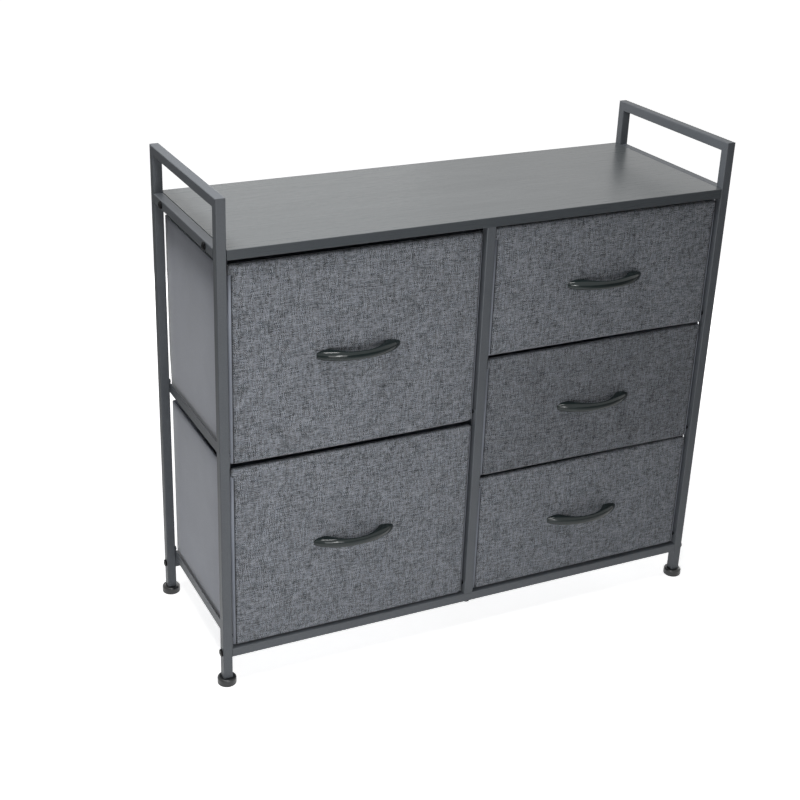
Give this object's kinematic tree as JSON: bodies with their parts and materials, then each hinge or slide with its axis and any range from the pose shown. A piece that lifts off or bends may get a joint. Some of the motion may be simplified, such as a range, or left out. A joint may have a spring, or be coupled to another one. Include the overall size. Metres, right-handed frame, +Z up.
{
  "type": "fabric drawer dresser",
  "caption": "Steel-tube dresser with fabric drawers in two columns on angle runners, a laminated top, carrying handles over the sides and screw-in feet.",
  "frame": {"origin": "on the floor under the middle of the overall box (feet, posts and drawer handles included)", "axes": "+X to the right along the width as seen from the front, +Y to the back, +Z up; the drawer fronts face -Y"},
  "size_m": [0.875, 0.3284, 0.79],
  "materials": {
    "frame_steel": "satin graphite powder coat",
    "board_laminate": "grey wood-grain laminate on particle board, semi-gloss",
    "bolt_steel": "black oxide",
    "plug_plastic": "black nylon",
    "insert_metal": "machined",
    "foot_plastic": "black moulded plastic on a steel stem",
    "front_fabric": "slubby grey linen weave",
    "bin_fabric": "pale grey-lavender non-woven cloth over stiffened sides",
    "stiffener_board": "raw fibreboard",
    "handle_metal": "gloss black-green enamel"
  },
  "bodies": {
    "frame": {"post_front_left": "frame_steel", "post_front_right": "frame_steel", "post_back_left": "frame_steel", "post_back_right": "frame_steel", "handle_rail_left": "frame_steel", "top_rail_left": "frame_steel", "handle_rail_right": "frame_steel", "top_rail_right": "frame_steel", "bottom_rail_front": "frame_steel", "centre_post_front": "frame_steel", "bottom_rail_back": "frame_steel", "centre_post_back": "frame_steel", "top_board": "board_laminate", "board_inserts": "insert_metal", "tube_plugs": "plug_plastic", "foot_inserts": "plug_plastic", "frame_bolts": "bolt_steel", "frame_screws": "bolt_steel", "centre_brackets": "frame_steel", "runners_lower_left": "frame_steel", "runners_upper_left": "frame_steel", "runners_lower_right": "frame_steel", "runners_middle_right": "frame_steel", "runners_upper_right": "frame_steel"},
    "foot_front_left_body": {"foot_front_left": "foot_plastic"},
    "foot_front_right_body": {"foot_front_right": "foot_plastic"},
    "foot_back_left_body": {"foot_back_left": "foot_plastic"},
    "foot_back_right_body": {"foot_back_right": "foot_plastic"},
    "drawer_lower_left": {"bin_lower_left": "bin_fabric", "base_board_lower_left": "stiffener_board", "front_board_lower_left": "stiffener_board", "front_cover_lower_left": "front_fabric", "handle_lower_left": "handle_metal", "handle_screws_lower_left": "bolt_steel"},
    "drawer_upper_left": {"bin_upper_left": "bin_fabric", "base_board_upper_left": "stiffener_board", "front_board_upper_left": "stiffener_board", "front_cover_upper_left": "front_fabric", "handle_upper_left": "handle_metal", "handle_screws_upper_left": "bolt_steel"},
    "drawer_lower_right": {"bin_lower_right": "bin_fabric", "base_board_lower_right": "stiffener_board", "front_board_lower_right": "stiffener_board", "front_cover_lower_right": "front_fabric", "handle_lower_right": "handle_metal", "handle_screws_lower_right": "bolt_steel"},
    "drawer_middle_right": {"bin_middle_right": "bin_fabric", "base_board_middle_right": "stiffener_board", "front_board_middle_right": "stiffener_board", "front_cover_middle_right": "front_fabric", "handle_middle_right": "handle_metal", "handle_screws_middle_right": "bolt_steel"},
    "drawer_upper_right": {"bin_upper_right": "bin_fabric", "base_board_upper_right": "stiffener_board", "front_board_upper_right": "stiffener_board", "front_cover_upper_right": "front_fabric", "handle_upper_right": "handle_metal", "handle_screws_upper_right": "bolt_steel"}
  },
  "joints": [
    {"name": "drawer_lower_left_slide", "type": "slide", "parent": "frame", "child": "drawer_lower_left", "axis": [0, -1, 0], "range_m": [0, 0.2]},
    {"name": "drawer_upper_left_slide", "type": "slide", "parent": "frame", "child": "drawer_upper_left", "axis": [0, -1, 0], "range_m": [0, 0.2]},
    {"name": "drawer_lower_right_slide", "type": "slide", "parent": "frame", "child": "drawer_lower_right", "axis": [0, -1, 0], "range_m": [0, 0.2]},
    {"name": "drawer_middle_right_slide", "type": "slide", "parent": "frame", "child": "drawer_middle_right", "axis": [0, -1, 0], "range_m": [0, 0.2]},
    {"name": "drawer_upper_right_slide", "type": "slide", "parent": "frame", "child": "drawer_upper_right", "axis": [0, -1, 0], "range_m": [0, 0.2]},
    {"name": "foot_front_left_screw", "type": "slide", "parent": "frame", "child": "foot_front_left_body", "axis": [0, 0, -1], "range_m": [0, 0.008]},
    {"name": "foot_front_right_screw", "type": "slide", "parent": "frame", "child": "foot_front_right_body", "axis": [0, 0, -1], "range_m": [0, 0.008]},
    {"name": "foot_back_left_screw", "type": "slide", "parent": "frame", "child": "foot_back_left_body", "axis": [0, 0, -1], "range_m": [0, 0.008]},
    {"name": "foot_back_right_screw", "type": "slide", "parent": "frame", "child": "foot_back_right_body", "axis": [0, 0, -1], "range_m": [0, 0.008]}
  ]
}
